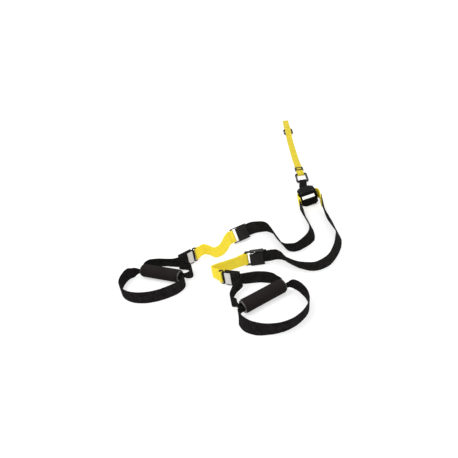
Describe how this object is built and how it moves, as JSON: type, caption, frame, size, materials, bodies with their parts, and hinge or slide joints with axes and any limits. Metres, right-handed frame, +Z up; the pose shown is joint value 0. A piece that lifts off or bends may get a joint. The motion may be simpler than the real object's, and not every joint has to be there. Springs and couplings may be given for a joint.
{
  "type": "suspension trainer",
  "caption": "Suspension training strap laid out on the floor: anchor strap with carabiners, yoke, two adjustable legs with cam buckles, and foam grips with foot cradles.",
  "frame": {"origin": "on the floor at the middle of the laid-out trainer's bounding box", "axes": "+Z up from the floor; +Y from the handles towards the far end of the anchor strap; +X to the side on which the anchor strap lies"},
  "size_m": [0.6976, 1.3892, 0.0489],
  "materials": {
    "anchor_carabiner_body_black_metal": "black coated steel",
    "anchor_carabiner_gate_black_metal": "black coated steel",
    "anchor_carabiner_gate_spring_steel": "plain steel",
    "anchor_carabiner_hinge_pin_steel": "plain steel",
    "anchor_keeper_black_plastic": "fine-grained black moulding",
    "anchor_strap_yellow_webbing": "close-woven yellow webbing, matt",
    "centre_strap_yellow_webbing": "close-woven yellow webbing, matt",
    "left_adjuster_strap_yellow_webbing": "close-woven yellow webbing, matt",
    "left_buckle_frame_black_metal": "black coated steel",
    "left_cam_black_plastic": "fine-grained black moulding",
    "left_cam_pin_steel": "plain steel",
    "left_cam_spring_steel": "plain steel",
    "left_foot_cradle_black_webbing": "close-woven black webbing, matt",
    "left_grip_cap_inner_black_plastic": "fine-grained black moulding",
    "left_grip_cap_outer_black_plastic": "fine-grained black moulding",
    "left_grip_foam_black_foam": "dull closed-cell foam",
    "left_grip_tube_black_plastic": "fine-grained black moulding",
    "left_handle_strap_black_webbing": "close-woven black webbing, matt",
    "left_label_label_cloth": "plain grey-white cloth",
    "left_leg_strap_black_webbing": "close-woven black webbing, matt",
    "left_ring_black_metal": "black coated steel",
    "left_sewn_block_black_webbing": "close-woven black webbing, matt",
    "main_carabiner_body_black_metal": "black coated steel",
    "main_carabiner_gate_black_metal": "black coated steel",
    "main_carabiner_gate_spring_steel": "plain steel",
    "main_carabiner_hinge_pin_steel": "plain steel",
    "neck_loop_black_webbing": "close-woven black webbing, matt",
    "right_adjuster_strap_yellow_webbing": "close-woven yellow webbing, matt",
    "right_buckle_frame_black_metal": "black coated steel",
    "right_cam_black_plastic": "fine-grained black moulding",
    "right_cam_pin_steel": "plain steel",
    "right_cam_spring_steel": "plain steel",
    "right_foot_cradle_black_webbing": "close-woven black webbing, matt",
    "right_grip_cap_inner_black_plastic": "fine-grained black moulding",
    "right_grip_cap_outer_black_plastic": "fine-grained black moulding",
    "right_grip_foam_black_foam": "dull closed-cell foam",
    "right_grip_tube_black_plastic": "fine-grained black moulding",
    "right_handle_strap_black_webbing": "close-woven black webbing, matt",
    "right_label_label_cloth": "plain grey-white cloth",
    "right_leg_strap_black_webbing": "close-woven black webbing, matt",
    "right_ring_black_metal": "black coated steel",
    "right_sewn_block_black_webbing": "close-woven black webbing, matt",
    "yoke_face_strip_white_patch": "plain white strip",
    "yoke_lower_shell_black_plastic": "fine-grained black moulding",
    "yoke_neck_pin_steel": "plain steel",
    "yoke_saddle_black_plastic": "fine-grained black moulding",
    "yoke_screw_1_steel": "plain steel",
    "yoke_screw_2_steel": "plain steel",
    "yoke_screw_3_steel": "plain steel",
    "yoke_screw_4_steel": "plain steel",
    "yoke_upper_shell_black_plastic": "fine-grained black moulding"
  },
  "bodies": {
    "trainer": {"yoke_lower_shell": "yoke_lower_shell_black_plastic", "yoke_upper_shell": "yoke_upper_shell_black_plastic", "yoke_saddle": "yoke_saddle_black_plastic", "yoke_neck_pin": "yoke_neck_pin_steel", "yoke_face_strip": "yoke_face_strip_white_patch", "yoke_screw_1": "yoke_screw_1_steel", "yoke_screw_2": "yoke_screw_2_steel", "yoke_screw_3": "yoke_screw_3_steel", "yoke_screw_4": "yoke_screw_4_steel", "neck_loop": "neck_loop_black_webbing", "centre_strap": "centre_strap_yellow_webbing", "left_leg_strap": "left_leg_strap_black_webbing", "left_buckle_frame": "left_buckle_frame_black_metal", "left_cam_pin": "left_cam_pin_steel", "left_cam_spring": "left_cam_spring_steel", "left_adjuster_strap": "left_adjuster_strap_yellow_webbing", "right_leg_strap": "right_leg_strap_black_webbing", "right_buckle_frame": "right_buckle_frame_black_metal", "right_cam_pin": "right_cam_pin_steel", "right_cam_spring": "right_cam_spring_steel", "right_adjuster_strap": "right_adjuster_strap_yellow_webbing"},
    "main_carabiner": {"main_carabiner_body": "main_carabiner_body_black_metal", "main_carabiner_hinge_pin": "main_carabiner_hinge_pin_steel"},
    "main_gate": {"main_carabiner_gate": "main_carabiner_gate_black_metal", "main_carabiner_gate_spring": "main_carabiner_gate_spring_steel"},
    "anchor_strap": {"anchor_strap": "anchor_strap_yellow_webbing"},
    "keeper": {"anchor_keeper": "anchor_keeper_black_plastic"},
    "anchor_carabiner": {"anchor_carabiner_body": "anchor_carabiner_body_black_metal", "anchor_carabiner_hinge_pin": "anchor_carabiner_hinge_pin_steel"},
    "anchor_gate": {"anchor_carabiner_gate": "anchor_carabiner_gate_black_metal", "anchor_carabiner_gate_spring": "anchor_carabiner_gate_spring_steel"},
    "left_cam": {"left_cam": "left_cam_black_plastic"},
    "left_ring": {"left_ring": "left_ring_black_metal"},
    "left_handle": {"left_handle_strap": "left_handle_strap_black_webbing", "left_sewn_block": "left_sewn_block_black_webbing", "left_label": "left_label_label_cloth"},
    "left_grip": {"left_grip_foam": "left_grip_foam_black_foam", "left_grip_tube": "left_grip_tube_black_plastic", "left_grip_cap_outer": "left_grip_cap_outer_black_plastic", "left_grip_cap_inner": "left_grip_cap_inner_black_plastic"},
    "left_cradle": {"left_foot_cradle": "left_foot_cradle_black_webbing"},
    "right_cam": {"right_cam": "right_cam_black_plastic"},
    "right_ring": {"right_ring": "right_ring_black_metal"},
    "right_handle": {"right_handle_strap": "right_handle_strap_black_webbing", "right_sewn_block": "right_sewn_block_black_webbing", "right_label": "right_label_label_cloth"},
    "right_grip": {"right_grip_foam": "right_grip_foam_black_foam", "right_grip_tube": "right_grip_tube_black_plastic", "right_grip_cap_outer": "right_grip_cap_outer_black_plastic", "right_grip_cap_inner": "right_grip_cap_inner_black_plastic"},
    "right_cradle": {"right_foot_cradle": "right_foot_cradle_black_webbing"}
  },
  "joints": [
    {"name": "main_carabiner_lift", "type": "hinge", "parent": "trainer", "child": "main_carabiner", "pos_m": [0.2677, 0.02767, 0.0065], "axis": [0.9948, -0.1019, 0], "range_deg": [0, 70]},
    {"name": "main_gate_swing", "type": "hinge", "parent": "main_carabiner", "child": "main_gate", "pos_m": [0.25124, 0.04856, 0.0065], "axis": [0, 0, -1], "range_deg": [0, 22], "stiffness_Nm_per_rad": 0.05, "springref_deg": -8.59},
    {"name": "anchor_strap_lift", "type": "hinge", "parent": "main_carabiner", "child": "anchor_strap", "pos_m": [0.27402, 0.08935, 0.0065], "axis": [0.9948, -0.1019, 0], "range_deg": [0, 70]},
    {"name": "keeper_slide", "type": "slide", "parent": "anchor_strap", "child": "keeper", "axis": [0.0822, 0.9966, 0], "range_m": [-0.006, 0.006]},
    {"name": "anchor_carabiner_turn", "type": "hinge", "parent": "anchor_strap", "child": "anchor_carabiner", "pos_m": [0.32184, 0.56998, 0.0065], "axis": [0, 0, 1], "range_deg": [-6, 6]},
    {"name": "anchor_gate_swing", "type": "hinge", "parent": "anchor_carabiner", "child": "anchor_gate", "pos_m": [0.30138, 0.53703, 0.0065], "axis": [0, 0, -1], "range_deg": [0, 22], "stiffness_Nm_per_rad": 0.05, "springref_deg": -8.59},
    {"name": "left_cam_press", "type": "hinge", "parent": "trainer", "child": "left_cam", "pos_m": [0.00704, -0.27706, 0.02596], "axis": [-0.2113, 0.4532, 0.866], "range_deg": [0, 16], "stiffness_Nm_per_rad": 0.08, "springref_deg": -6.88},
    {"name": "left_ring_swing", "type": "hinge", "parent": "trainer", "child": "left_ring", "pos_m": [-0.13168, -0.342, 0.0237], "axis": [0, 0, 1], "range_deg": [-15, 15]},
    {"name": "left_handle_swing", "type": "hinge", "parent": "left_ring", "child": "left_handle", "pos_m": [-0.14034, -0.347, 0.0237], "axis": [0, 0, 1], "range_deg": [-15, 15]},
    {"name": "left_grip_spin", "type": "hinge", "parent": "left_handle", "child": "left_grip", "pos_m": [-0.23416, -0.40054, 0.0185], "axis": [-0.8712, 0.4909, 0], "continuous": true},
    {"name": "left_cradle_lift", "type": "hinge", "parent": "left_handle", "child": "left_cradle", "pos_m": [-0.23416, -0.40054, 0.0185], "axis": [-0.8712, 0.4909, 0], "range_deg": [0, 70]},
    {"name": "right_cam_press", "type": "hinge", "parent": "trainer", "child": "right_cam", "pos_m": [0.03224, -0.41485, 0.0223], "axis": [0, 0, 1], "range_deg": [0, 16], "stiffness_Nm_per_rad": 0.08, "springref_deg": -6.88},
    {"name": "right_ring_swing", "type": "hinge", "parent": "trainer", "child": "right_ring", "pos_m": [-0.06929, -0.47134, 0.0237], "axis": [0, 0, 1], "range_deg": [-15, 12]},
    {"name": "right_handle_swing", "type": "hinge", "parent": "right_ring", "child": "right_handle", "pos_m": [-0.06031, -0.47572, 0.0237], "axis": [0, 0, 1], "range_deg": [-15, 8]},
    {"name": "right_grip_spin", "type": "hinge", "parent": "right_handle", "child": "right_grip", "pos_m": [0.02984, -0.57174, 0.0185], "axis": [-0.8957, -0.4446, 0], "continuous": true},
    {"name": "right_cradle_lift", "type": "hinge", "parent": "right_handle", "child": "right_cradle", "pos_m": [0.02984, -0.57174, 0.0185], "axis": [-0.8957, -0.4446, 0], "range_deg": [0, 70]}
  ]
}
